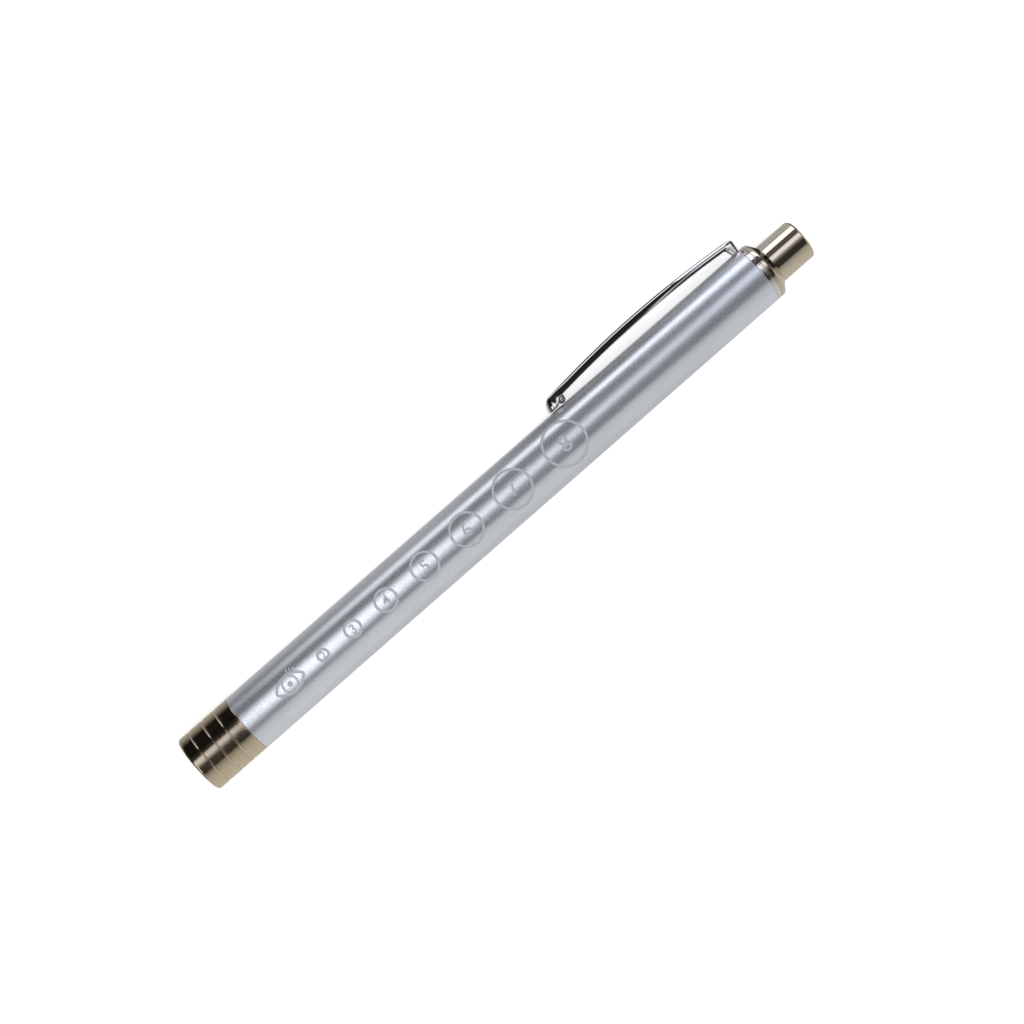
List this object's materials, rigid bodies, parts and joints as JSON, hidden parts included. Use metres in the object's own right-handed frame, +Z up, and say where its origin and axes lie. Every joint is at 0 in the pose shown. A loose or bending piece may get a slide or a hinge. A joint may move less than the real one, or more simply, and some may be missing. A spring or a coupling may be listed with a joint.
{
  "type": "penlight",
  "caption": "Slim metal penlight with an anodised tube barrel, grooved screw-off head with a recessed lamp, sprung pocket clip and tail push button.",
  "frame": {"origin": "centre of the lamp's front face, on the axis of the barrel", "axes": "+X out of the front face along the beam, so the tail is towards -X; +Z up from the table that the penlight lies on, on its barrel and its clip; the clip is on the -Y side, about 25 degrees below level"},
  "size_m": [0.1443, 0.0153, 0.0114],
  "materials": {
    "anodised_barrel": "satin anodised, lasered marks",
    "nickel_head": "bright nickel plate, turned",
    "nickel_tail": "bright nickel plate, turned",
    "chrome_clip": "polished chrome plate",
    "rubber": "matte",
    "lens": "clear",
    "reflector": "vacuum plated",
    "lamp_resin": "clear resin over a yellow die",
    "tinned_wire": "tinned",
    "white_plastic": "moulded",
    "black_plastic": "moulded",
    "fibre": "pressed fibre",
    "brass": "turned",
    "cell_can": "plated steel can",
    "cell_plate": "plated",
    "cell_wrap": "plain printed film",
    "spring_steel": "drawn wire"
  },
  "bodies": {
    "barrel": {"barrel": "anodised_barrel", "front_cell_can": "cell_can", "front_cell_wrap": "cell_wrap", "front_cell_seal": "black_plastic", "front_cell_base": "cell_plate", "rear_cell_can": "cell_can", "rear_cell_wrap": "cell_wrap", "rear_cell_seal": "black_plastic", "rear_cell_base": "cell_plate", "cell_spring": "spring_steel", "contact_plate": "brass", "switch_body": "black_plastic", "return_spring": "spring_steel", "collar": "nickel_tail", "tail_seal_ring": "rubber", "clip_ring": "chrome_clip"},
    "lamp": {"led_body": "lamp_resin", "led_leads": "tinned_wire", "lamp_holder": "white_plastic", "contact_sleeve": "brass", "contact_insulator": "fibre", "centre_contact": "brass"},
    "head": {"head_shell": "nickel_head", "head_seal_ring": "rubber", "lens": "lens", "lens_gasket": "rubber", "reflector": "reflector"},
    "button": {"button": "nickel_tail", "plunger": "brass"},
    "clip": {"clip_arm": "chrome_clip"}
  },
  "joints": [
    {"name": "head_travel", "type": "slide", "parent": "barrel", "child": "lamp", "axis": [1, 0, 0], "range_m": [0, 0.0045]},
    {"name": "head_unscrew", "type": "hinge", "parent": "lamp", "child": "head", "pos_m": [0, 0, 0], "axis": [1, 0, 0], "range_deg": [0, 2161]},
    {"name": "button_press", "type": "slide", "parent": "barrel", "child": "button", "axis": [1, 0, 0], "range_m": [0, 0.0028], "stiffness_N_per_m": 300, "springref_m": -0.003, "deforming": ["return_spring"]},
    {"name": "clip_flex", "type": "hinge", "parent": "barrel", "child": "clip", "pos_m": [-0.13345, -0.00695, -0.00331], "axis": [0, 0.4301, -0.9028], "range_deg": [0, 5], "stiffness_Nm_per_rad": 2.5, "springref_deg": -1.15}
  ],
  "couplings": [
    {"joint": "head_unscrew", "follows": "head_travel", "rad_per_m": 8377.6}
  ]
}
